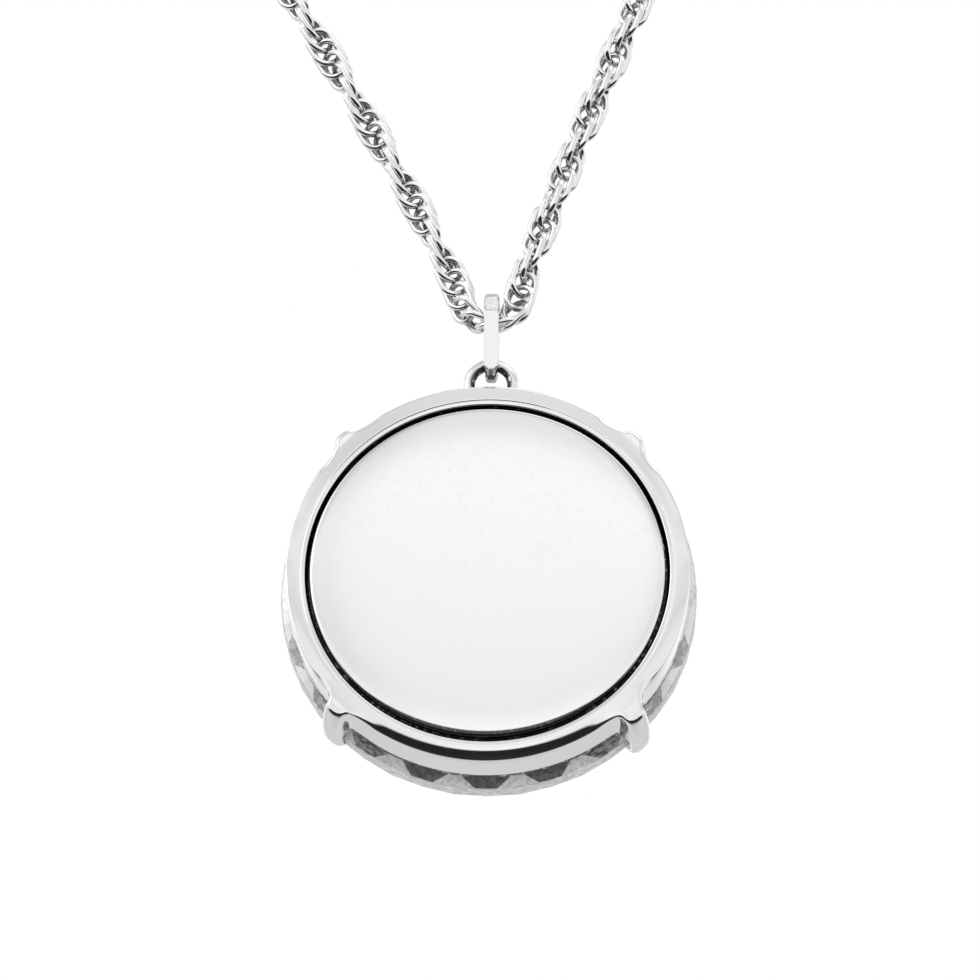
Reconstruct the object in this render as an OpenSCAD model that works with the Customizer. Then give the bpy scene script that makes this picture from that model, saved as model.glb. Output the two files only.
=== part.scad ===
// Round crystal pendant hanging on a rope chain, seen hung from the nape of the necklace.
// The origin is the nape. X runs to the right as seen from the pendant's back, Z is up,
// and the crystal faces +Y. All sizes are in millimetres.

/* [Crystal] */
// Diameter over the girdle
crystal_d = 29.9; // [28:0.1:30]
// Diameter of the flat table in front
table_d = 17; // [12:0.5:20]
// Diameter of the flat at the back, inside the collar
culet_flat_d = 19.2; // [18.8:0.2:22]
// Height of the crown in front of the girdle
crown_h = 2.9; // [2:0.1:3.5]
// Main facets round each side
main_facets = 20; // [16:2:24]

/* [Setting] */
// Outer diameter of the collar
collar_d = 29; // [29:0.1:29.4]
// Depth of the collar from back to front
collar_depth = 3.5; // [3.3:0.1:3.6]
// Diameter of the opening that the back plate sits in
plate_seat_d = 26.1; // [26:0.1:26.4]
// Radius of the collar's rounded back edge
edge_round = 0.55; // [0.3:0.05:0.6]
// Width of a claw
claw_w = 1.6; // [1.4:0.1:2]
// Distance of a lower claw's outer face from the pendant's axis
claw_reach = 16.1; // [15.8:0.1:16.5]
// The same distance for the upper two claws
upper_claw_reach = 15.6; // [15.5:0.1:16.5]

/* [Back plate] */
// Diameter of the plate
plate_d = 25.46; // [25:0.02:25.6]
// Thickness of the plate
plate_t = 1.4; // [1:0.1:1.5]
// How far the plate stands out of the collar's back
plate_proud = 0.25; // [0:0.05:0.4]

/* [Loop and bail] */
// Outer diameter of the loop soldered on the collar
loop_d = 4.07; // [3.9:0.01:4.2]
// Wire of the loop
loop_wire = 0.87; // [0.8:0.01:0.9]
// Width of the bail's band
bail_w = 1.1; // [0.9:0.05:1.2]
// Thickness of the bail's band
bail_t = 0.7; // [0.6:0.05:0.8]

/* [Chain] */
// Diameter of the rope that the links make
rope_d = 2.2; // [2:0.1:2.3]
// Length of the barrel that closes the chain
clasp_len = 10; // [9:0.5:10.5]
// Diameter of that barrel
clasp_d = 4; // [3.5:0.5:5]

/* [Hidden] */
$fn = 96;

// Gap left between pieces that lie against each other
gap = 0.08;
// Depth of the collar's back face behind the plane in which the necklace hangs
hang_depth = 3;

// Height of the chain's lowest point, and of the pendant's parts above its own centre
rope_low = -186.5;
rope_above = 20.85;
loop_above = 15.9;
pendant_z = rope_low - rope_above;

collar_r = collar_d / 2;
seat_r = plate_seat_d / 2;

// Depths are measured from the collar's back face towards the front
girdle_back = 4.65;
girdle_front = 5.85;
table_depth = girdle_front + crown_h;
pavilion_slope = 0.62;
ledge_depth = plate_t - plate_proud + gap;
bore_depth = 2.75;
claw_front = 7;
claw_tip_r = 13.6;
claw_tip_t = 0.4;

silver = "#d9dade";
clear = "#dfe9ee";

// A height in the pendant's own frame, where z points out of the back
function back_z(depth) = hang_depth - depth;
function polar(r, a) = [r * cos(a), r * sin(a)];

// The pendant's own frame: x right, y up, z out of the back
module hung(height) {
    translate([0, 0, height]) rotate([90, 0, 0]) children();
}

// Crystal

crystal_r = crystal_d / 2;
step_a = 360 / main_facets;
half_a = step_a / 2;
// Half width, as an angle, of the blunt end of a pavilion main on the girdle
tip_a = 2.7;
star_r = 11.4;
lower_r = 13.85;
crown_slope = crown_h / (crystal_r - table_d / 2);

// Depth of the flat main facets at a radius and at an angle from the facet's middle
function crown_depth(r, a) = table_depth - crown_slope * (r * cos(a) - table_d / 2);
function pavilion_depth(r, a) = girdle_back - pavilion_slope * (crystal_r * cos(tip_a) - r * cos(a));
culet_depth = pavilion_depth(culet_flat_d / 2, 0);
// Depth of the ridge between two main facets of the crown, over which the claws close
girdle_scallop = 0.1;
function crown_ridge(r) =
    let (inner = crown_depth(star_r, half_a), outer = girdle_front + girdle_scallop)
    outer + (inner - outer) * (crystal_r - r) / (crystal_r - star_r);

function cut_point(r, a, depth) = [r * cos(a), r * sin(a), back_z(depth)];

// The corners of the cut, ring by ring, from the table to the flat back
crystal_points = [
    for (k = [0 : main_facets - 1]) let (a = k * step_a) each [
        cut_point(table_d / 2, a, table_depth),
        cut_point(star_r, a + half_a, crown_depth(star_r, half_a)),
        cut_point(crystal_r, a, girdle_front),
        cut_point(crystal_r, a + half_a, girdle_front + girdle_scallop),
        cut_point(crystal_r, a - tip_a, girdle_back),
        cut_point(crystal_r, a + tip_a, girdle_back),
        cut_point(crystal_r, a + half_a, girdle_back - girdle_scallop),
        cut_point(lower_r, a + half_a, pavilion_depth(lower_r, half_a)),
        cut_point(culet_flat_d / 2 / cos(half_a), a + half_a, culet_depth)
    ]
];

module crystal() {
    color(clear, 0.6) hung(pendant_z)
        hull() polyhedron(crystal_points, [for (i = [0 : len(crystal_points) - 3]) [i, i + 1, i + 2]]);
}

// Claw setting

// Radius at which the cone of the collar's front seat clears the crystal at a depth
function seat_at(depth) = (crystal_r - (girdle_back - depth) / pavilion_slope) / cos(half_a) + 2 * gap;

collar_bore = seat_at(bore_depth);

// Points of an arc round a centre, from one angle to another
function arc(centre, r, from, to, steps) =
    [for (i = [0 : steps]) centre + polar(r, from + (to - from) * i / steps)];

// How far the back face falls towards the collar's rounded edge
back_fall = 0.07;

module collar() {
    // Bevel of the narrow inner rim, and the fine line that sets it off
    bevel = [0.3, 0.04];
    line_w = 0.1;
    line_depth = 0.05;
    line_r = seat_r + bevel[0];
    rotate_extrude() polygon(concat(
        [
            [collar_bore, back_z(bore_depth)], [collar_bore, back_z(ledge_depth)],
            [seat_r, back_z(ledge_depth)], [seat_r, back_z(bevel[1])],
            [line_r, back_z(0)], [line_r + line_w / 2, back_z(line_depth)], [line_r + line_w, back_z(0)]
        ],
        arc([collar_r - edge_round, back_z(edge_round + back_fall)], edge_round, 90, 0, 6),
        [[collar_r, back_z(collar_depth)], [seat_at(collar_depth), back_z(collar_depth)]]
    ));
}

// Radius inside the collar's wall from which the claws grow
claw_root_r = collar_r - 1;

// Side view of a claw: x is the distance from the axis, y the height in the pendant's frame.
// It leans out from a foot flush with the collar's back, and the farther it reaches the wider it bends.
module claw_profile(reach) {
    foot_round = 0.25;
    foot_r = collar_r + 0.55 * (reach - collar_r);
    lean_depth = 2.6;
    tip_turn = 75;
    bend_r = 2.4 * (reach - crystal_r);
    rest_depth = crown_ridge(claw_tip_r) + gap;
    polygon(concat(
        [[claw_root_r, back_z(back_fall)]],
        arc([foot_r - foot_round, back_z(back_fall + foot_round)], foot_round, 90, 20, 4),
        [
            [foot_r + 0.6 * (reach - foot_r), back_z(lean_depth / 2)],
            [reach - 0.1 * (reach - foot_r), back_z(lean_depth)]
        ],
        arc([reach - bend_r, back_z(claw_front - bend_r)], bend_r, 0, -tip_turn, 6),
        [
            [claw_tip_r, back_z(rest_depth + claw_tip_t)], [claw_tip_r, back_z(rest_depth)],
            [crystal_r + gap, back_z(crown_ridge(crystal_r) + gap)],
            [crystal_r + gap, back_z(collar_depth)],
            [claw_root_r, back_z(collar_depth)]
        ]
    ));
}

// Outline of a claw seen along the pendant's axis: a tongue with round corners and a round tip
module claw_tongue(reach) {
    corner = 0.55;
    half = claw_w / 2;
    polygon(concat(
        arc([reach - corner, corner - half], corner, -90, 0, 5),
        arc([reach - corner, half - corner], corner, 0, 90, 5),
        arc([claw_tip_r + half, 0], half, 90, 270, 10)
    ));
}

// Hollow fillets that spread the claw's foot over the collar's wall
module claw_flare() {
    fillet = 1;
    side = claw_w / 2 + fillet;
    centre_x = sqrt(pow(collar_r + fillet, 2) - side * side);
    lean = atan2(side, centre_x);
    polygon(concat(
        [[claw_root_r, -side]],
        arc([centre_x, -side], fillet, 180 - lean, 90, 6),
        arc([centre_x, side], fillet, -90, lean - 180, 6),
        [[claw_root_r, side]]
    ));
}

module claw(reach) {
    intersection() {
        translate([0, 0, back_z(table_depth)]) linear_extrude(table_depth + gap) claw_tongue(reach);
        rotate([90, 0, 0]) linear_extrude(2 * claw_w, center = true) claw_profile(reach);
    }
    translate([0, 0, back_z(collar_depth)]) linear_extrude(collar_depth - edge_round) claw_flare();
}

module claw_setting() {
    color(silver) hung(pendant_z) {
        rotate(45) {
            collar();
            for (a = [0, 90]) rotate(a) claw(upper_claw_reach);
            for (a = [180, 270]) rotate(a) claw(claw_reach);
        }
        translate([0, loop_above, 0]) rotate_extrude() translate([(loop_d - loop_wire) / 2, 0])
            circle(loop_wire / 2, $fn = 32);
    }
}

// Back plate

module back_plate() {
    edge = 0.5;
    dome = 0.15;
    plate_r = plate_d / 2;
    flat_r = plate_r - edge;
    top = back_z(-plate_proud);
    dome_r = (flat_r * flat_r + dome * dome) / (2 * dome);
    color(silver) hung(pendant_z) rotate_extrude() polygon(concat(
        [[0, top - plate_t], [plate_r, top - plate_t]],
        arc([flat_r, top - dome - edge], edge, 0, 90, 6),
        [for (i = [9 : -1 : 0]) let (r = flat_r * i / 10) [r, top - dome_r + sqrt(dome_r * dome_r - r * r)]]
    ));
}

// Bail

bail_top_r = 2.15;
bail_low_r = 1.3;
bail_span = rope_above - loop_above - (loop_d - loop_wire) / 2;
bail_lean = asin((bail_top_r - bail_low_r) / bail_span);
bail_leg = sqrt(pow(bail_span, 2) - pow(bail_top_r - bail_low_r, 2));

// Section of the band whose outer face is at x = 0, with round edges outside
module band_section() {
    corner = 0.3;
    translate([-bail_t, corner - bail_w / 2]) square([bail_t, bail_w - 2 * corner]);
    translate([corner - bail_t, -bail_w / 2]) square([bail_t - 2 * corner, bail_w]);
    for (x = [corner - bail_t, -corner], side = [-1, 1])
        translate([x, side * (bail_w / 2 - corner)]) circle(corner, $fn = 32);
}

// Drawn in the plane of the band's loop: x across the loop, y up it, and z along the chain
module bail_loop() {
    rotate(-bail_lean) rotate_extrude(angle = 180 + 2 * bail_lean) translate([bail_top_r, 0]) band_section();
    translate([0, -bail_span]) rotate(180 + bail_lean) rotate_extrude(angle = 180 - 2 * bail_lean)
        translate([bail_low_r, 0]) band_section();
    for (side = [0, 1]) mirror([side, 0, 0]) rotate(-bail_lean) translate([bail_top_r, 0, 0])
        rotate([90, 0, 0]) linear_extrude(bail_leg) band_section();
}

module bail() {
    color(silver) translate([0, 0, rope_low]) rotate([90, 0, 90]) bail_loop();
}

// Chain

// Points [x, z] of the rope's middle line, from the left end at the clasp down round the bail
// and up to the right end
rope_route = [
    [-7.2, -0.4], [-21.5, -4.1], [-34, -11], [-44.5, -20.7], [-52, -32.2], [-56.5, -44.6],
    [-58.3, -58.1], [-57, -71.6], [-52.6, -84], [-46, -98], [-37.6, -116], [-28.6, -134.4],
    [-19.1, -152.8], [-10, -169], [-4.8, -178.8], [-2.5, -183.9], [-2, -185.3], [-1.2, -186.15],
    [0, -186.5],
    [1.15, -186.1], [1.85, -185.1], [2.1, -183.9], [4.3, -177], [8.35, -166], [15.75, -146.8],
    [23, -127.5], [30, -108.3], [37, -89.1], [42.5, -74], [45.7, -65.2], [48, -56],
    [48.5, -45.5], [46.5, -34.5], [41.5, -23.3], [34, -13.9], [25, -6.9], [15, -2.4],
    [7.2, -0.4]
];
rope_sides = 8;
ring_spacing = 7;
last_point = len(rope_route) - 1;

function unit(v) = v / norm(v);
// Direction of the rope at a route point, leaning to the nearer neighbour's span
function heading(i) =
    i == 0 ? unit(rope_route[1] - rope_route[0])
    : i == last_point ? unit(rope_route[i] - rope_route[i - 1])
    : let (before = rope_route[i] - rope_route[i - 1], after = rope_route[i + 1] - rope_route[i])
        unit(unit(before) * norm(after) + unit(after) * norm(before));
// Place on the smooth curve between two neighbouring route points
function on_span(i, t) =
    let (a = rope_route[i], b = rope_route[i + 1], span = norm(b - a))
    a * (2 * pow(t, 3) - 3 * t * t + 1) + heading(i) * span * (pow(t, 3) - 2 * t * t + t)
    + b * (3 * t * t - 2 * pow(t, 3)) + heading(i + 1) * span * (pow(t, 3) - t * t);

rope_line = [
    for (i = [0 : last_point - 1])
        let (rings = max(1, round(norm(rope_route[i + 1] - rope_route[i]) / ring_spacing)))
            for (j = [0 : rings - 1]) on_span(i, j / rings),
    rope_route[last_point]
];

// One tube swept along a line in the XZ plane, its rings square to the line
module rope_tube(line, d) {
    rings = len(line);
    points = [
        for (i = [0 : rings - 1])
            let (
                along = unit(line[min(i + 1, rings - 1)] - line[max(i - 1, 0)]),
                across = [along[1], -along[0]]
            )
            for (k = [0 : rope_sides - 1])
                let (a = (k + 0.5) * 360 / rope_sides, out = d / 2 * cos(a))
                    [line[i][0] + out * across[0], d / 2 * sin(a), line[i][1] + out * across[1]]
    ];
    faces = concat(
        [[for (k = [0 : rope_sides - 1]) k]],
        [
            for (i = [0 : rings - 2], k = [0 : rope_sides - 1])
                let (next = (k + 1) % rope_sides, a = i * rope_sides, b = a + rope_sides)
                    [a + k, b + k, b + next, a + next]
        ],
        [[for (k = [rope_sides - 1 : -1 : 0]) (rings - 1) * rope_sides + k]]
    );
    polyhedron(points, faces, convexity = 10);
}

module chain() {
    color(silver) rope_tube(rope_line, rope_d);
}

// Clasp

module clasp() {
    eye_wire = 0.6;
    eye_r = 0.85;
    cap_round = 0.6;
    color(silver) {
        rotate([0, 90, 0]) rotate_extrude() {
            translate([0, -clasp_len / 2]) square([clasp_d / 2 - cap_round, clasp_len]);
            translate([0, cap_round - clasp_len / 2]) square([clasp_d / 2, clasp_len - 2 * cap_round]);
            for (end = [-1, 1]) translate([clasp_d / 2 - cap_round, end * (clasp_len / 2 - cap_round)])
                circle(cap_round, $fn = 48);
        }
        for (end = [-1, 1]) translate([end * (clasp_len / 2 + eye_r), 0, 0]) rotate([90, 0, 0])
            rotate_extrude() translate([eye_r, 0]) circle(eye_wire / 2, $fn = 32);
    }
}

crystal();
claw_setting();
back_plate();
bail();
chain();
clasp();
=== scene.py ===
import bmesh
import bpy
import math
from mathutils import Matrix, Quaternion, Vector


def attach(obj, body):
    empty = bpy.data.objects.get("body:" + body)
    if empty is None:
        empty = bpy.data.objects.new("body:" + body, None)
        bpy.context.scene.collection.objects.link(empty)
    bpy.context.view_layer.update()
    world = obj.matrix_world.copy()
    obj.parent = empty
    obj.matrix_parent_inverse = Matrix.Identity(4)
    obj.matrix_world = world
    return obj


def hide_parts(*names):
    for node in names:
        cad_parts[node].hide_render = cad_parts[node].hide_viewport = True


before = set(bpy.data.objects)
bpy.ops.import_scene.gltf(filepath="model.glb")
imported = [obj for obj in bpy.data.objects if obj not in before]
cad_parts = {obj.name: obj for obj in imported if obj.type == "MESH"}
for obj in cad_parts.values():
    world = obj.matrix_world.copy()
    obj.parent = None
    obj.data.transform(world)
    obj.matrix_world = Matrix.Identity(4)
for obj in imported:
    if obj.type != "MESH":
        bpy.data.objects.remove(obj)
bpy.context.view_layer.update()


# Crystal
# A round cut stone of clear crystal glass: a flat table, a crown and a pavilion of twenty facets
# each, and a narrow girdle left ground. Its back is foiled and lacquered, so that it throws the
# light out of the front. The claws hold it in the collar.

mm = 0.001
pendant_z = -207.35 * mm


class Field:
    """A value or colour that a finish works out at each point of a surface."""

    def __init__(self, tree, socket=None):
        self.tree = tree
        self.socket = socket

    def node(self, kind, settings=None, sockets=None, out=0):
        made = self.tree.nodes.new(kind)
        for name, value in (settings or {}).items():
            if name == "stops":
                while len(made.color_ramp.elements) < len(value):
                    made.color_ramp.elements.new(1.0)
                for element, (place, colour) in zip(made.color_ramp.elements, value):
                    element.position = place
                    element.color = colour
            else:
                setattr(made, name, value)
        for name, value in (sockets or {}).items():
            if isinstance(value, Field):
                self.tree.links.new(value.socket, made.inputs[name])
            else:
                made.inputs[name].default_value = value
        return Field(self.tree, made.outputs[out])

    def maths(self, operation, first, second=0.0, third=0.0):
        return self.node("ShaderNodeMath", {"operation": operation},
                         {0: first, 1: second, 2: third})

    def __add__(self, other):
        return self.maths("ADD", self, other)

    def __radd__(self, other):
        return self.maths("ADD", other, self)

    def __sub__(self, other):
        return self.maths("SUBTRACT", self, other)

    def __rsub__(self, other):
        return self.maths("SUBTRACT", other, self)

    def __mul__(self, other):
        return self.maths("MULTIPLY", self, other)

    def __rmul__(self, other):
        return self.maths("MULTIPLY", other, self)

    def root(self):
        return self.maths("SQRT", self)

    def size(self):
        return self.maths("ABSOLUTE", self)

    def at_least(self, other):
        return self.maths("MAXIMUM", self, other)

    def from_to(self, low, high):
        """0 below low, 1 above high and a smooth step between."""
        return self.node("ShaderNodeMapRange", {"interpolation_type": "SMOOTHSTEP"},
                         {"Value": self, "From Min": low, "From Max": high})


def start_finish(name):
    """A new material with an empty tree, and the place on the piece as a vector field in metres."""
    made = bpy.data.materials.new(name)
    made.use_nodes = True
    made.node_tree.nodes.clear()
    return made, Field(made.node_tree).node("ShaderNodeTexCoord", out="Object")


def surface_of(place, sockets):
    return place.node("ShaderNodeBsdfPrincipled", {}, sockets)


def end_finish(surface, kind="ShaderNodeOutputMaterial"):
    """Joins a surface to the output of its tree."""
    output = surface.tree.nodes.new(kind)
    surface.tree.links.new(surface.socket, output.inputs["Surface"])


def dress(piece, finish):
    """Gives a piece its finish in place of any other."""
    piece.data.materials.clear()
    piece.data.materials.append(finish)


def in_mm(place, axis, start=0):
    """How far a place is along one axis from a start, as a field in millimetres."""
    split = place.node("ShaderNodeSeparateXYZ", {}, {0: place})
    distance = Field(place.tree, split.socket.node.outputs[axis]) * (1 / mm)
    return distance + (-start / mm) if start else distance


def from_axis(place):
    """Distance from the pendant's axis, as a field in millimetres."""
    across, up = in_mm(place, "X"), in_mm(place, "Z", pendant_z)
    return (across * across + up * up).root()


def grain(place, scale, detail, roughness=0.5):
    """Even noise round a half, finer with a higher scale."""
    return place.node("ShaderNodeTexNoise", {}, {
        "Vector": place, "Scale": scale, "Detail": detail, "Roughness": roughness})


def mix_colours(share, first, second):
    """The first colour where the share is 0 and the second where it is 1."""
    return share.node("ShaderNodeMix", {"data_type": "RGBA"},
                      {0: share, 6: first, 7: second}, out=2)


cut_glass, place = start_finish("foiled_crystal")
haze = grain(place, 300.0, 3.0)
clear = surface_of(place, {
    "Base Color": (0.97, 0.985, 0.99, 1.0),
    "Roughness": haze.from_to(0.55, 0.8) * 0.015,
    "IOR": 1.54,
    "Transmission Weight": 1.0,
})
across = in_mm(place, "X")
forward = in_mm(place, "Y")
up = in_mm(place, "Z", pendant_z)
out = from_axis(place)
# Angle from the middle of the nearest of the 20 main facets, whose ends taper towards the girdle
girdle_r = 14.95  # in millimetres
half_main = 9.0  # in degrees
angle = up.maths("ARCTAN2", up, across) * math.degrees(1)
from_main = up.maths("WRAP", angle, half_main, -half_main).size()
between_mains = (from_main - (girdle_r - out) * 5.7).from_to(2.5, 2.9)
from_lowest = (angle + 90).size()
round_rim = place.node("ShaderNodeCombineXYZ", {}, {0: angle * 0.5, 1: out * 7, 2: forward * 7})
streaks = grain(round_rim, 1.0, 3.0).from_to(0.42, 0.6)
specks = grain(place, 2600.0, 5.0, 0.7)
patches = grain(place, 700.0, 2.0)
# Through the stone the foil is a bright mirror. From behind it is rougher and pitted under its
# lacquer, and its tones there are painted reflections: darker on the main facets, pale between
# them, bright in streaks by the claws and lighter at set angles from the lowest point, with rubbed
# specks.
through_stone = place.node("ShaderNodeNewGeometry", out="Backfacing")
outside = 1 - through_stone
pitted = place.node("ShaderNodeBump", {}, {
    "Height": (specks + patches * 2) * outside, "Strength": 0.25, "Distance": 0.05 * mm})
by_claws = from_lowest.from_to(21, 28) * (1 - from_lowest.from_to(50, 58))
rubbed = specks.from_to(0.4, 0.62) * (1 - by_claws * 0.5)
lighter_at_set_angles = from_lowest.from_to(30, 50) * 0.2 + from_lowest.from_to(80, 86) * 0.45
speckled = 0.6 + specks.from_to(0.35, 0.6) * 0.35 + from_lowest.from_to(30, 50) * 0.3
# Painted reflections: how much of the foil shows pale from behind
painted_reflection_share = (between_mains * speckled).at_least(streaks * by_claws * 0.8)
painted_reflection_share = (painted_reflection_share + rubbed * 0.28 + lighter_at_set_angles).at_least(through_stone)
foil = surface_of(place, {
    "Base Color": mix_colours(painted_reflection_share, (0.24, 0.24, 0.25, 1.0), (0.98, 0.98, 0.98, 1.0)),
    "Metallic": (0.6 - between_mains * 0.4).at_least(through_stone),
    "Roughness": 0.04 + (0.08 + specks.from_to(0.45, 0.7) * 0.15) * outside,
    "Normal": pitted,
})
pale_share = streaks * specks.from_to(0.3, 0.6) * (1 - forward.from_to(2.75, 2.85))
ground = surface_of(place, {
    "Base Color": mix_colours(pale_share, (0.6, 0.6, 0.61, 1.0), (0.93, 0.935, 0.94, 1.0)),
    "Roughness": 0.45,
    "Normal": pitted,
})
# The foil stops at the girdle, and the front of the stone is clear
ahead_of_girdle = forward.from_to(2.2, 2.25)
on_girdle = out.from_to(14.86, 14.89) * forward.from_to(1.5, 1.52)
on_girdle = on_girdle * (1 - forward.from_to(2.93, 2.96))
cut = place.node("ShaderNodeMixShader", {}, {0: ahead_of_girdle, 1: foil, 2: clear})
end_finish(place.node("ShaderNodeMixShader", {}, {0: on_girdle, 1: cut, 2: ground}))
dress(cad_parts["crystal"], cut_glass)


# Claw setting
# A cast collar of polished silver-plated brass with four claws that grow out of its wall and close
# over the crystal's crown. A small ring of round wire is soldered to its top to hang it by.

back_y = -3 * mm
wall_r = 14.5  # in millimetres
collar_r = wall_r * mm
collar_depth = 3.5 * mm
back_fall = 0.07 * mm
ring_z = -191.45 * mm
ring_r = 1.6 * mm
ring_wire = 0.87 * mm


def deselect_all():
    """Leaves edit mode, and deselects every piece."""
    if bpy.context.object and bpy.context.object.mode == "EDIT":
        bpy.ops.object.mode_set(mode="OBJECT")
    bpy.ops.object.select_all(action="DESELECT")


def radius_of(p):
    """Distance of a point from the pendant's axis."""
    return math.hypot(p.x, p.z - pendant_z)


def depth_of(p):
    """Depth of a point in front of the collar's back face."""
    return p.y - back_y


def pick_faces(piece, wanted):
    """Selects the faces of the piece in edit mode that pass a test."""
    mesh = bmesh.from_edit_mesh(piece.data)
    bpy.ops.mesh.select_all(action="DESELECT")
    bpy.ops.mesh.select_mode(type="FACE")
    for face in mesh.faces:
        face.select = wanted(face)
    mesh.select_flush_mode()
    bmesh.update_edit_mesh(piece.data)


def pick_edges(piece, end_wanted, pair_wanted=lambda a, b: True):
    """Selects the edges in edit mode whose ends pass one test each and another as a pair."""
    mesh = bmesh.from_edit_mesh(piece.data)
    bpy.ops.mesh.select_all(action="DESELECT")
    bpy.ops.mesh.select_mode(type="EDGE")
    for edge in mesh.edges:
        a, b = edge.verts[0].co, edge.verts[1].co
        edge.select = end_wanted(a) and end_wanted(b) and pair_wanted(a, b)
    mesh.select_flush_mode()
    bmesh.update_edit_mesh(piece.data)


def pick_corners(piece, wanted):
    """Selects the corners of the piece in edit mode that pass a test."""
    mesh = bmesh.from_edit_mesh(piece.data)
    bpy.ops.mesh.select_all(action="DESELECT")
    bpy.ops.mesh.select_mode(type="VERT")
    for vert in mesh.verts:
        if wanted(vert.co):
            vert.select = True
    mesh.select_flush_mode()
    bmesh.update_edit_mesh(piece.data)


def place_in_mesh(piece, name):
    """Names a piece and moves its place and turn into its mesh."""
    deselect_all()
    piece.select_set(True)
    bpy.context.view_layer.objects.active = piece
    bpy.ops.object.transform_apply(location=True, rotation=True, scale=True)
    piece.name = name
    piece.data.name = name
    return piece


# The collar is turned from a disc: its back falls a little to the edge, has a fine line and a
# bevel, and is stepped down to the plate's seat. Its front is opened, and the openings are joined.
deselect_all()
bpy.ops.mesh.primitive_cylinder_add(
    vertices=104, radius=collar_r, depth=collar_depth - back_fall,
    location=(0, back_y + (collar_depth + back_fall) / 2, pendant_z),
    rotation=(math.pi / 2, 0, 0))
setting = place_in_mesh(bpy.context.object, "setting")
bpy.ops.object.mode_set(mode="EDIT")
pick_faces(setting, lambda face: face.normal.y < -0.9)
for inward, deeper in ((0.38, -0.02), (0.34, -0.025), (0.33, -0.025), (0.05, 0.05), (0.05, -0.05),
                       (0.3, 0.04)):
    bpy.ops.mesh.inset(thickness=inward * mm, depth=-deeper * mm)
seat_depth, seat_width, bore_depth = 1.19 * mm, 0.86 * mm, 1.52 * mm
bpy.ops.mesh.extrude_region_move(TRANSFORM_OT_translate={"value": (0, seat_depth, 0)})
bpy.ops.mesh.inset(thickness=seat_width)
bpy.ops.mesh.extrude_region_move(TRANSFORM_OT_translate={"value": (0, bore_depth, 0)})
pick_faces(setting, lambda face: face.normal.y > 0.9
           and depth_of(face.calc_center_median()) > 3 * mm)
for inward in (0.35, 0.93):
    bpy.ops.mesh.inset(thickness=inward * mm)
# The two round faces that are left, one in the bore and one in front, are opened into each other
pick_faces(setting, lambda face: len(face.verts) > 50)
bpy.ops.mesh.bridge_edge_loops()
bpy.ops.object.mode_set(mode="OBJECT")


def on_wall(face):
    return abs(radius_of(face.calc_center_median()) - collar_r) < 0.1 * mm


# Three more rings round the wall, so that its back edge is rounded and its front edge is crisp
for ring_depth in (0.75 * mm, 1.8 * mm, 3.2 * mm):
    bpy.ops.object.mode_set(mode="EDIT")
    pick_faces(setting, on_wall)
    bpy.ops.mesh.bisect(plane_co=(0, back_y + ring_depth, 0), plane_no=(0, 1, 0))
    bpy.ops.object.mode_set(mode="OBJECT")

# Each claw is drawn out of the wall over four of its faces, narrowed and rounded on the way, and
# then drawn forward past the girdle and in over the crown. The upper two reach out less.
# Turn of each claw round the axis and how far out it reaches, then its half width, the distances
# of its root and tip from the axis and the depth of its tip. Lengths are in millimetres.
claws = [(45, 15.6), (135, 15.6), (225, 16.1), (315, 16.1)]
claw_half = 0.8
claw_root = 14.42
claw_tip = 13.65
claw_front = 7.0
# Turn of the bend at each section of a claw's end, the section's inner corner and its half width
claw_sections = [(0, (15.1, 4.6), claw_half), (28, (15.12, 5.7), 0.76), (52, (14.82, 6.15), 0.7),
                 (72, (14.4, 6.38), 0.63), (85, (claw_tip, 6.62), 0.52)]


def claw_place(p, angle):
    """Distance out along a claw, distance to its side and depth, in millimetres."""
    a = math.radians(angle)
    x, z = p.x, p.z - pendant_z
    return ((x * math.cos(a) + z * math.sin(a)) / mm, (z * math.cos(a) - x * math.sin(a)) / mm,
            depth_of(p) / mm)


def near_claw(p, angle, half_width, least_out=0):
    """Whether a point is near the middle line of a claw, and far enough out on its side."""
    out, side, depth = claw_place(p, angle)
    return abs(side) < half_width and out > least_out


def to_nearest_claw(p):
    """Distance of a point from the middle of the nearest claw's root, seen from behind."""
    places = (claw_place(p, angle) for angle, reach in claws)
    return min(math.hypot(out - wall_r, side) for out, side, depth in places)


def claw_move(angle, outward, sideways, forward):
    """A move along a claw's own three directions, from millimetres."""
    a = math.radians(angle)
    bpy.ops.transform.translate(value=(
        (outward * math.cos(a) - sideways * math.sin(a)) * mm, forward * mm,
        (outward * math.sin(a) + sideways * math.cos(a)) * mm))


def shape_ring(angle, numbers, target):
    """Moves each corner of a ring to where the target puts it."""
    bpy.ops.mesh.select_mode(type="VERT")
    for number in numbers:
        bpy.ops.mesh.select_all(action="DESELECT")
        mesh = bmesh.from_edit_mesh(setting.data)
        mesh.verts.ensure_lookup_table()
        mesh.verts[number].select = True
        mesh.select_flush_mode()
        bmesh.update_edit_mesh(setting.data)
        now = claw_place(mesh.verts[number].co, angle)
        claw_move(angle, *(new - old for new, old in zip(target(*now), now)))
    mesh = bmesh.from_edit_mesh(setting.data)
    mesh.verts.ensure_lookup_table()
    for number in numbers:
        mesh.verts[number].select = True
    mesh.select_flush_mode()
    bmesh.update_edit_mesh(setting.data)
    bpy.ops.mesh.select_mode(type="FACE")


def picked_corners():
    return [v.index for v in bmesh.from_edit_mesh(setting.data).verts if v.select]


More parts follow.
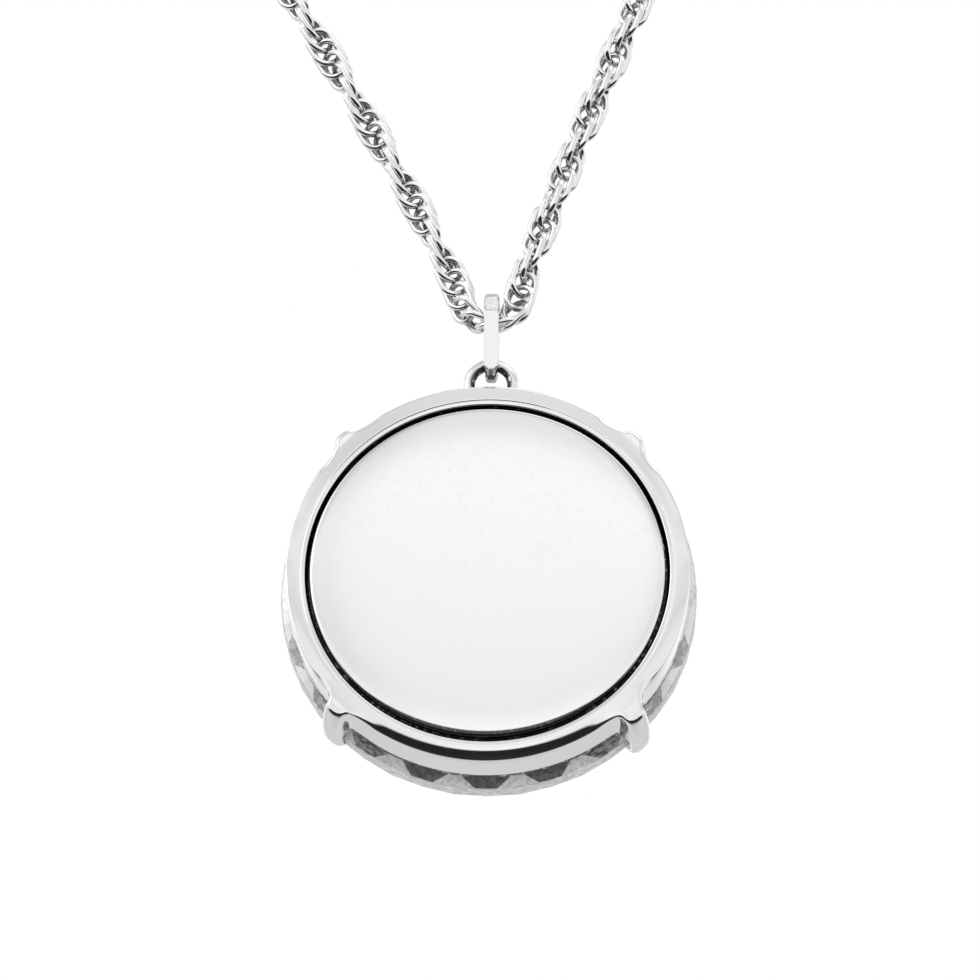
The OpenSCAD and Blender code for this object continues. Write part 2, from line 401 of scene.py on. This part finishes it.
bpy.ops.object.mode_set(mode="EDIT")
for angle, reach in claws:
    foot = 14.56 + 0.55 * (reach - wall_r)

    def leaning(depth):
        """How far out the claw's outer face is at a depth."""
        t = min(1, depth / 2.6)
        return foot + (reach - foot) * (1 - (1 - t) ** 2)

    pick_faces(setting, lambda face: on_wall(face)
               and near_claw(face.calc_center_median(), angle, 1.6))
    # Root, foot, neck and outer face: half width at the back and farther forward, and the share of
    # the way out
    for foot_half, half, share in ((1.752, 1.1, 0), (1.2, 0.97, 0.16), (0.88, 0.88, 0.45),
                                   (claw_half, claw_half, 1.0)):
        if share:
            bpy.ops.mesh.extrude_region_move()
        widths = {}
        for vert in bmesh.from_edit_mesh(setting.data).verts:
            if vert.select:
                out, side, depth = claw_place(vert.co, angle)
                widths[round(depth, 1)] = max(abs(side), widths.get(round(depth, 1), 0))

        def ring_target(out, side, depth):
            edge = side / widths[round(depth, 1)]
            side = edge * (half if depth > 0.4 else foot_half)
            if not share:
                return (math.sqrt(wall_r ** 2 - side ** 2), side, depth)
            rounding = 0.28 * edge ** 4 * share
            return (claw_root + (leaning(depth) - claw_root) * share - rounding, side, depth)

        shape_ring(angle, picked_corners(), ring_target)
    outer_half = claw_root + 0.55 * (reach - claw_root)
    pick_faces(setting, lambda face: face.normal.y > 0.9
               and near_claw(face.calc_center_median(), angle, 1, outer_half))
    bend_r = 2.4 * (reach - girdle_r)
    facing = 0
    for turn, inner, half in claw_sections:
        bpy.ops.mesh.extrude_region_move()
        a = math.radians(turn)
        outer = (reach - bend_r + bend_r * math.cos(a), claw_front - bend_r + bend_r * math.sin(a))
        if inner[0] == claw_tip:  # the last section ends straight above its inner corner
            outer = (claw_tip, claw_front)

        def outwards(out, depth):
            """How far a corner is towards the outer face of the section before."""
            return out * math.cos(facing) + depth * math.sin(facing)

        corners = bmesh.from_edit_mesh(setting.data).verts
        found = [claw_place(v.co, angle) for v in corners if v.select]
        side_now = max(abs(side) for out, side, depth in found)
        columns = {}
        for out, side, depth in found:
            column = columns.setdefault(round(2 * side / side_now), [])
            column.append(outwards(out, depth))

        def section_target(out, side, depth):
            edge = abs(side) / side_now
            if outwards(out, depth) > max(columns[round(2 * side / side_now)]) - 0.001:
                pull = 0.3 * math.hypot(outer[0] - inner[0], outer[1] - inner[1]) * edge ** 4
                place = (outer[0] - pull * math.cos(a), outer[1] - pull * math.sin(a))
            else:
                place = inner
            return (place[0], side * half / side_now, place[1])

        shape_ring(angle, picked_corners(), section_target)
        facing = a
bpy.ops.object.mode_set(mode="OBJECT")

# Hand-set claws are never quite alike: of the lower two the left sits higher, the right lower
bpy.ops.object.mode_set(mode="EDIT")
for angle, rise in ((225, 0.14), (315, -0.34)):
    pick_corners(setting, lambda p: near_claw(p, angle, 1.5, 14.6))
    bpy.ops.transform.translate(value=(0, 0, rise * mm))
bpy.ops.object.mode_set(mode="OBJECT")

# Between the lower claws the collar's back edge slopes off, and less so at the sides. Radius and
# depth of each ring of corners before and after, and the share of that move which the corners get
# that lie between two heights and two distances from a claw.
slopes = [(wall_r, 0.07, 14.4, 0.32), (14.12, 0.05, 14.03, 0.13), (13.78, 0.025, 13.7, 0.0)]
shares = [(-15, -8, 2.3, 3.2, 0.5), (-15, -8, 3.2, 99, 1.0), (-8, 0, 2.3, 99, 0.35),
          (0, 5, 2.3, 99, 0.15)]
bpy.ops.object.mode_set(mode="EDIT")
for from_r, from_depth, to_r, to_depth in slopes:
    for low, high, near, far, share in shares:
        pick_corners(setting, lambda p: abs(radius_of(p) / mm - from_r) < 0.03
                     and abs(depth_of(p) / mm - from_depth) < 0.015
                     and low < (p.z - pendant_z) / mm <= high
                     and near < to_nearest_claw(p) <= far)
        narrower = 1 + (to_r / from_r - 1) * share
        bpy.ops.transform.resize(value=(narrower, 1, narrower), center_override=(0, 0, pendant_z))
        bpy.ops.transform.translate(value=(0, (to_depth - from_depth) * share * mm, 0))
bpy.ops.object.mode_set(mode="OBJECT")

# The fine line round the bevel is left whole at the top, is shallower at the left and the upper
# right, and is rubbed away elsewhere
line_r = 13.4 * mm


def turn_from(p, first):
    """Turn of a point round the axis in degrees, counted on from a first angle."""
    return (math.degrees(math.atan2(p.z - pendant_z, p.x)) - first) % 360 + first


bpy.ops.object.mode_set(mode="EDIT")
for first, last, lift in ((200, 380, 0.048), (150, 200, 0.024), (20, 70, 0.024)):
    pick_corners(setting, lambda p: abs(radius_of(p) - line_r) < 0.02 * mm
                 and 0.03 * mm < depth_of(p) < 0.08 * mm and turn_from(p, first) < last)
    bpy.ops.transform.translate(value=(0, -lift * mm, 0))
bpy.ops.object.mode_set(mode="OBJECT")

# Crisp edges: the plate's seat, the bevel and the line round it, the bore and the front
bpy.ops.object.mode_set(mode="EDIT")
pick_edges(setting, lambda p: radius_of(p) < 13.47 * mm and depth_of(p) < 3.6 * mm,
           lambda a, b: abs(depth_of(a) - depth_of(b)) < 0.01 * mm
           and abs(radius_of(a) - radius_of(b)) < 0.05 * mm)
bpy.ops.transform.edge_crease(value=0.9)
# Softer edges: the claws' feet, and the wall's back edge away from the claws
pick_edges(setting, lambda p: depth_of(p) < 0.1 * mm and radius_of(p) > 14.9 * mm)
bpy.ops.transform.edge_crease(value=0.1)
pick_edges(setting, lambda p: depth_of(p) < 0.4 * mm and 14.35 * mm < radius_of(p) < 14.52 * mm
           and to_nearest_claw(p) > 2.3)
bpy.ops.transform.edge_crease(value=0.75)
bpy.ops.object.mode_set(mode="OBJECT")
smoothed = setting.modifiers.new("cast_smooth", "SUBSURF")
smoothed.levels = smoothed.render_levels = 2
bpy.ops.object.modifier_apply(modifier=smoothed.name)
bpy.ops.object.shade_smooth()

# The ring for the bail
deselect_all()
bpy.ops.mesh.primitive_torus_add(
    major_segments=72, minor_segments=24, major_radius=ring_r, minor_radius=ring_wire / 2,
    location=(0, 0, ring_z), rotation=(math.pi / 2, 0, 0))
hanging_ring = place_in_mesh(bpy.context.object, "hanging_ring")
bpy.ops.object.shade_smooth()
deselect_all()
hanging_ring.select_set(True)
setting.select_set(True)
bpy.context.view_layer.objects.active = setting
bpy.ops.object.join()


def polished_metal(name, tint, roughness, bump, dark=None, wear=0.7):
    """Silver-coloured plating with faint polishing marks, black where dark says, as painted shade
    and, in the seat's groove, also old polish.

    The black is gone again in small spots, as much as wear says."""
    made, place = start_finish(name)
    cloudy = grain(place, 220.0, 4.0)
    fine = grain(place, 2600.0, 3.0)
    colour = tint
    rough = roughness + fine.from_to(0.5, 0.75) * 0.06
    height = cloudy + fine * 0.15
    if dark:
        spots = grain(place, 3600.0, 2.0)
        # Painted shade, and in the seat's groove old polish, darken the colour where dark says
        shade_and_grime = dark(place) * (1 - spots.from_to(0.57, 0.64) * wear)
        colour = mix_colours(shade_and_grime, tint, (0.09, 0.09, 0.09, 1.0))
        rough = rough + shade_and_grime * 0.25
        height = height + shade_and_grime * spots
    dents = place.node("ShaderNodeBump", {}, {
        "Height": height, "Strength": bump, "Distance": 0.05 * mm})
    end_finish(surface_of(place, {
        "Base Color": colour, "Metallic": 1.0, "Roughness": rough, "Normal": dents}))
    return made


def setting_shade_and_grime(place):
    """Where the setting is darkened: the seat's wall and floor, as painted shade and old polish,
    and the seam by the collar's front edge and the inside of the ring, as painted shade.
    """
    x = in_mm(place, "X")
    depth = in_mm(place, "Y", back_y)
    z = in_mm(place, "Z", ring_z)
    r = from_axis(place)
    # Painted shade, and old polish, on the seat's wall and floor
    groove = (1 - r.from_to(13.05, 13.1)) * depth.from_to(0.18, 0.3)
    groove = groove * (1 - depth.from_to(1.4, 1.6))
    # In a band along the seat's wall the darkening is taken off as a painted glint, a little more
    # so on the left
    painted_glint = (grain(place, 1300.0, 3.0) - x * 0.005).from_to(0.46, 0.53)
    groove = groove * (1 - painted_glint * depth.from_to(0.4, 0.46) * (1 - depth.from_to(0.64, 0.74))
                       * 0.9)
    # Painted shadow in the seam by the collar's front edge, and painted shade inside the ring
    seam = (1 - r.from_to(14.6, 14.65)) * depth.from_to(2.9, 3.0)
    inside_ring = 1 - (x * x + z * z).from_to(1.4 ** 2, 1.62 ** 2)
    return groove + seam + inside_ring


silver_tint = (0.93, 0.93, 0.935, 1.0)
dress(setting, polished_metal("setting_silver", silver_tint, 0.06, 0.05, setting_shade_and_grime))
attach(setting, "pendant")
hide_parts("claw_setting")


# Back plate
# A stamped disc of the same metal, very slightly domed and polished bright, with a rounded edge.
# It is pressed into the collar behind the crystal, and a groove is left round it. Its edge is
# darkened with a painted dark reflection.

plate_r = 12.73 * mm
plate_t = 1.4 * mm
plate_proud = 0.25 * mm
dome_rise = 0.17 * mm
deselect_all()
bpy.ops.mesh.primitive_cylinder_add(
    vertices=160, radius=plate_r, depth=plate_t - dome_rise,
    location=(0, back_y - plate_proud + (plate_t + dome_rise) / 2, pendant_z),
    rotation=(math.pi / 2, 0, 0))
plate = place_in_mesh(bpy.context.object, "polished_back_plate")
bpy.ops.object.mode_set(mode="EDIT")
pick_faces(plate, lambda face: face.normal.y < -0.9)
# Width of each ring of the dome from the rim inwards, and the angle at which it rises
for width, rise in ((0.6, 3.4), (0.45, 3.0), (0.6, 2.4), (1.1, 1.5), (1.5, 0.8), (1.5, 0.6),
                    (1.5, 0.4), (1.5, 0.3), (1.5, 0.15), (1.5, 0.1)):
    bpy.ops.mesh.inset(thickness=width * mm, depth=width * math.tan(math.radians(rise)) * mm)
pick_edges(plate, lambda p: abs(radius_of(p) - plate_r) < 0.01 * mm and p.y < back_y)
bpy.ops.mesh.bevel(offset=0.22 * mm, segments=5, affect="EDGES", profile=0.5)
bpy.ops.object.mode_set(mode="OBJECT")
bpy.ops.object.shade_smooth()


def plate_rim_shade(place):
    """A painted dark reflection on the plate's edge, broadest at the bottom, and painted shade on
    the upper part of its rounded rim.
    """
    up = in_mm(place, "Z", pendant_z)
    r = from_axis(place)
    edge = (r + (1 - up.from_to(-12.5, -7.5)) * 0.36).from_to(12.62, 12.74)
    upper_rim_shade = r.from_to(12.4, 12.5) * up.from_to(1, 7) * 0.3
    return edge.at_least(upper_rim_shade)


# The plate's edge and upper rim are darkened as painted reflection and painted shade
dress(plate, polished_metal(
    "plate_silver", (0.975, 0.975, 0.98, 1.0), 0.09, 0.005, plate_rim_shade, 0.1))
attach(plate, "pendant")
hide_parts("back_plate")


# Bail
# A loop of band with rounded sides, bent to a drop round the chain and the pendant's ring and
# soldered shut. Its back is filed flat and bright, and its lower bend is narrower.

bail_z = -186.5 * mm
bail_top_r = 2.15 * mm
bail_low_r = 1.3 * mm
bail_span = bail_z - ring_z - ring_r
bail_w = 1.1 * mm
bail_t = 0.7 * mm
lean = math.asin((bail_top_r - bail_low_r) / bail_span)
leg = bail_span * math.cos(lean)
leg_y, leg_z = leg * math.sin(lean), leg * math.cos(lean)
low_z = bail_z - bail_span

# The band's section, at the lower end of the top bend on the back, then swept round
deselect_all()
bpy.ops.mesh.primitive_plane_add(size=1, location=(0, bail_t / 2 - bail_top_r, bail_z))
bail = bpy.context.object
bail.scale = (bail_w, bail_t, 1)
bail = place_in_mesh(bail, "bail_band")
bpy.ops.object.mode_set(mode="EDIT")
bpy.ops.mesh.select_all(action="SELECT")
bpy.ops.mesh.bevel(offset=0.28 * mm, segments=6, affect="VERTICES")
bpy.ops.mesh.select_all(action="SELECT")
bpy.ops.transform.rotate(value=-lean, orient_axis="X", center_override=(0, 0, bail_z))
bpy.ops.mesh.spin(steps=40, angle=math.pi + 2 * lean, center=(0, 0, bail_z), axis=(1, 0, 0))
bpy.ops.mesh.extrude_region_move(TRANSFORM_OT_translate={"value": (0, -leg_y, -leg_z)})
bpy.ops.mesh.spin(steps=26, angle=math.pi - 2 * lean, center=(0, 0, low_z), axis=(1, 0, 0))
bpy.ops.mesh.extrude_region_move(TRANSFORM_OT_translate={"value": (0, -leg_y, leg_z)})
# The band's two end faces go, and its ends are joined
pick_faces(bail, lambda face: len(face.verts) > 8)
bpy.ops.mesh.delete(type="ONLY_FACE")
bpy.ops.mesh.select_all(action="SELECT")
bpy.ops.mesh.remove_doubles(threshold=0.01 * mm)
bpy.ops.mesh.select_all(action="SELECT")
bpy.ops.mesh.normals_make_consistent(inside=False)
# The lower bend gets narrower
for below, narrower in ((0.1, 0.96), (0.3, 0.93), (0.55, 0.92), (0.8, 0.92)):
    pick_corners(bail, lambda p: p.z < low_z - below * mm)
    bpy.ops.transform.resize(value=(narrower, 1, 1), center_override=(0, 0, low_z))
# The back leg is filed flat, and so is the band just above it
for tilt, filed in ((-lean, 0.1 * mm), (math.radians(20), 0.12 * mm)):
    out = Vector((0, -math.cos(tilt), math.sin(tilt)))
    bpy.ops.mesh.select_mode(type="VERT")
    for number in range(len(bmesh.from_edit_mesh(bail.data).verts)):
        mesh = bmesh.from_edit_mesh(bail.data)
        mesh.verts.ensure_lookup_table()
        above = (mesh.verts[number].co - Vector((0, 0, bail_z))).dot(out) - (bail_top_r - filed)
        if above > 0:
            bpy.ops.mesh.select_all(action="DESELECT")
            mesh.verts[number].select = True
            bmesh.update_edit_mesh(bail.data)
            bpy.ops.transform.translate(value=out * -above)
bpy.ops.object.mode_set(mode="OBJECT")
bpy.ops.object.shade_smooth_by_angle(angle=math.radians(18))


def bail_shade(place):
    """Painted shade on the underside of the lower bend, below a half round edge on its back, and on
    the top.
    """
    x = in_mm(place, "X")
    z = in_mm(place, "Z", low_z - 0.2 * mm)
    underside = (x * x + z * z).from_to(0.5 ** 2, 0.56 ** 2) * (1 - z.from_to(-0.05, 0.05))
    return underside * 0.5 + z.from_to(3.56, 3.6) * 0.36


# Painted shade on the bail's underside and top
dress(bail, polished_metal("bail_silver", silver_tint, 0.1, 0.03, bail_shade))
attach(bail, "bail")
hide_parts("bail")


# Chain
# A twisted rope chain of soldered oval links in round wire. Each link passes through the two before
# it and is turned a little from them, so that the broad side winds round the rope.

link_wire = 0.46 * mm
link_half_w = 0.95 * mm
link_half_l = 1.48 * mm
link_pitch = 1.11 * mm
rope_route = [
    (-7.2, -0.4), (-21.5, -4.1), (-34, -11), (-44.5, -20.7), (-52, -32.2), (-56.5, -44.6),
    (-58.3, -58.1), (-57, -71.6), (-52.6, -84), (-46, -98), (-37.6, -116), (-28.6, -134.4),
    (-19.1, -152.8), (-10, -169), (-4.8, -178.8), (-2.5, -183.9), (-2, -185.3), (-1.2, -186.15),
    (0, -186.5),
    (1.15, -186.1), (1.85, -185.1), (2.1, -183.9), (4.3, -177), (8.35, -166), (15.75, -146.8),
    (23, -127.5), (30, -108.3), (37, -89.1), (42.5, -74), (45.7, -65.2), (48, -56),
    (48.5, -45.5), (46.5, -34.5), (41.5, -23.3), (34, -13.9), (25, -6.9), (15, -2.4),
    (7.2, -0.4)]
route = [Vector((x * mm, 0, z * mm)) for x, z in rope_route]
steps = 40


def heading(i):
    """Direction of the rope at a route point, leaning to the nearer neighbour's span."""
    if i == 0 or i == len(route) - 1:
        return (route[max(i, 1)] - route[max(i, 1) - 1]).normalized()
    before, after = route[i] - route[i - 1], route[i + 1] - route[i]
    return (before.normalized() * after.length + after.normalized() * before.length).normalized()


rope_line = []
for i in range(len(route) - 1):
    span = (route[i + 1] - route[i]).length
    for j in range(steps):
        t = j / steps
        rope_line.append(
            route[i] * (2 * t**3 - 3 * t * t + 1)
            + heading(i) * span * (t**3 - 2 * t * t + t)
            + route[i + 1] * (3 * t * t - 2 * t**3)
            + heading(i + 1) * span * (t**3 - t * t))
rope_line.append(route[-1])
along = [0.0]
for a, b in zip(rope_line, rope_line[1:]):
    along.append(along[-1] + (b - a).length)
lowest = along[rope_route.index((0, -186.5)) * steps]


def rope_at(s):
    """Place and direction of the rope's middle line at a length from its left end."""
    low, high = 0, len(along) - 1
    while high - low > 1:
        middle = (low + high) // 2
        if along[middle] <= s:
            low = middle
        else:
            high = middle
    t = (s - along[low]) / (along[high] - along[low])
    return rope_line[low].lerp(rope_line[high], t), (rope_line[high] - rope_line[low]).normalized()


# Where the rope shows its broad side, as lengths in millimetres from its lowest point. A half turn
# takes 7 mm on the left, and on the right, where the rope is wound tighter, 4.93 mm.
broad_places = [-4.5 - 7.0 * k for k in range(40, -1, -1)] + [4.0 + 4.93 * k for k in range(60)]


def turn_at(s):
    """How far the links have turned round the rope, in half turns."""
    from_lowest = (s - lowest) / mm
    for k in range(len(broad_places) - 1):
        if from_lowest < broad_places[k + 1]:
            break
    return k + (from_lowest - broad_places[k]) / (broad_places[k + 1] - broad_places[k])


def link_mesh(name, rings, sides):
    """One link, made once as a ring whose two halves are drawn apart."""
    straight = link_half_l - link_half_w
    deselect_all()
    bpy.ops.mesh.primitive_torus_add(
        major_segments=rings, minor_segments=sides,
        major_radius=link_half_w, minor_radius=link_wire / 2)
    link = bpy.context.object
    bpy.ops.object.mode_set(mode="EDIT")
    for side in (-1, 1):
        mesh = bmesh.from_edit_mesh(link.data)
        bpy.ops.mesh.select_all(action="DESELECT")
        bpy.ops.mesh.select_mode(type="VERT")
        for vert in mesh.verts:
            vert.select = vert.co.x * side > 0.001 * mm
        mesh.select_flush_mode()
        bmesh.update_edit_mesh(link.data)
        bpy.ops.transform.translate(value=(side * straight, 0, 0))
    bpy.ops.object.mode_set(mode="OBJECT")
    bpy.ops.object.shade_smooth()
    # Painted shade: the wire's inner side and the ends that lie inside the rope are darkened
    crevice = link.data.attributes.new("crevice", "FLOAT", "POINT")
    for vert, value in zip(link.data.vertices, crevice.data):
        x, y = abs(vert.co.x), abs(vert.co.y)
        from_line = math.hypot(max(0, x - straight), y) - link_half_w
        inner = -2 * from_line / link_wire
        hidden = (x / mm - 1) * (1.4 - y / (0.5 * mm))
        value.value = min(1, max(0, inner * 3.4 - 2.4, hidden * 1.3 - 0.3))
    link.name = name
    return link


near_link = link_mesh("near_link", 30, 10)
far_link = link_mesh("far_link", 14, 5)
# The links are spread evenly along the rope, and those near the pendant are made finer
end_gap = 0.55 * mm
length = along[-1] - 2 * end_gap
count = round(length / link_pitch)
pitch = length / count
first_turn = math.radians(10)
links = []
for k in range(count + 1):
    s = end_gap + k * pitch
    middle, forward = rope_at(s)
    flat = Vector((forward.z, 0, -forward.x))
    through = forward.cross(flat)
    a = first_turn + math.pi * turn_at(s)
    broad = flat * math.cos(a) + through * math.sin(a)
    turned = Matrix((forward, broad, forward.cross(broad))).transposed().to_4x4()
    is_near = middle.z < -150 * mm
    link = (near_link if is_near else far_link).copy()
    link.data = link.data.copy()
    link.data.transform(Matrix.Translation(middle) @ turned)
    bpy.context.collection.objects.link(link)
    links.append(link)
for spare in (near_link, far_link):
    bpy.data.objects.remove(spare)
deselect_all()
for link in links:
    link.select_set(True)
bpy.context.view_layer.objects.active = links[0]
bpy.ops.object.join()
chain = bpy.context.object
chain.name = chain.data.name = "rope_chain_links"
# Painted shade on the wires' inner sides and hidden ends, read from each link's values
dress(chain, polished_metal(
    "chain_silver", (0.98, 0.98, 0.985, 1.0), 0.07, 0.05,
    lambda place: place.node("ShaderNodeAttribute", {"attribute_name": "crevice"}, out="Fac")))
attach(chain, "necklace")
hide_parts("chain")


# Clasp
# A slim plain barrel turned from the same metal, which screws shut at the nape and takes the last
# link at either end.

dress(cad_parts["clasp"], polished_metal("clasp_silver", silver_tint, 0.08, 0.03))


# Studio
# A plain pale floor far below, a bright surround that is dark under the horizon behind, two soft
# lamps, and the camera behind the pendant, looking up at it.

floor_z = -0.62
deselect_all()
bpy.ops.mesh.primitive_plane_add(size=14, location=(0, 0, floor_z))
floor = bpy.context.object
floor.name = "floor"
floor.visible_glossy = False
floor.visible_transmission = False
pale, place = start_finish("pale_floor")
end_finish(surface_of(place, {"Base Color": (0.86, 0.86, 0.86, 1.0), "Roughness": 0.9}))
dress(floor, pale)

world = bpy.data.worlds.new("studio")
bpy.context.scene.world = world
world.use_nodes = True
world.node_tree.nodes.clear()
direction = Field(world.node_tree).node("ShaderNodeTexCoord", out="Generated")
split = direction.node("ShaderNodeSeparateXYZ", {}, {0: direction})
sideways, ahead, height = (Field(world.node_tree, split.socket.node.outputs[axis])
                           for axis in "XYZ")
level = height * 0.5 + 0.5


def sky_ramp(levels):
    """Brightness by height, from straight down at 0 to straight up at 1."""
    stops = [(at, (v, v, v, 1)) for at, v in levels]
    return level.node("ShaderNodeValToRGB", {"stops": stops}, {"Fac": level})


behind = sky_ramp([
    (0.0, 0.02), (0.12, 0.03), (0.2, 0.03), (0.27, 0.02), (0.365, 0.02), (0.43, 0.97),
    (0.52, 0.99), (0.575, 0.98), (0.61, 0.98), (0.635, 0.96), (0.66, 0.83), (0.685, 0.9),
    (0.7, 0.97), (0.712, 1.0), (0.722, 0.93), (0.738, 0.8), (0.77, 0.78), (1.0, 0.7)])
before = sky_ramp([
    (0.0, 0.05), (0.03, 0.45), (0.1, 0.6), (0.3, 0.68), (0.5, 0.64), (0.58, 0.8),
    (0.64, 1.0), (0.735, 1.0), (0.77, 0.85), (0.85, 0.78), (1.0, 0.72)])
# The panel behind is a little darker beyond its left and right edges
panel = 1 - sideways.size().from_to(0.05, 0.13) * 0.12
behind = mix_colours(panel, (0.0, 0.0, 0.0, 1.0), behind)
both = mix_colours(ahead.from_to(-0.25, 0.25), behind, before)
end_finish(both.node("ShaderNodeBackground", {}, {"Color": both, "Strength": 1.0}),
           "ShaderNodeOutputWorld")

# Two large soft lamps, one behind at the left and one above, both turned to the pendant
for name, spot, width in (("softbox_left", (-0.9, -0.7, 0.4), 0.9),
                          ("softbox_top", (0.3, -0.3, 0.9), 1.0)):
    lamp_data = bpy.data.lights.new(name, "AREA")
    lamp_data.size = width
    lamp_data.energy = 2
    lamp = bpy.data.objects.new(name, lamp_data)
    lamp.location = spot
    to_pendant = Vector((0, 0, pendant_z)) - Vector(spot)
    lamp.rotation_euler = to_pendant.to_track_quat("-Z", "Y").to_euler()
    bpy.context.collection.objects.link(lamp)

scene = bpy.context.scene
scene.view_settings.view_transform = "Standard"

# The camera looks up from behind, turned a little to the right and rolled a little. The middle of
# the collar's back lies at (487, 571) on a picture of 980 by 980 that shows 70 mm, which is 14
# pixels to a millimetre.
picture_width = 0.07
elevation = math.radians(-23.5)
azimuth = math.radians(1.7)
roll = math.radians(0.8)
distance = 0.6
backwards = Vector((math.sin(azimuth) * math.cos(elevation),
                    -math.cos(azimuth) * math.cos(elevation), math.sin(elevation)))
turned = backwards.to_track_quat("Z", "Y") @ Quaternion((0, 0, 1), roll)
aim = Vector((0, back_y, pendant_z)) + turned @ Vector((0.196 * mm, 5.8 * mm, 0))
camera_data = bpy.data.cameras.new("camera")
camera_data.sensor_width = 36
camera_data.lens = camera_data.sensor_width * distance / picture_width
camera = bpy.data.objects.new("camera", camera_data)
camera.location = aim + backwards * distance
camera.rotation_euler = turned.to_euler()
bpy.context.collection.objects.link(camera)
scene.camera = camera
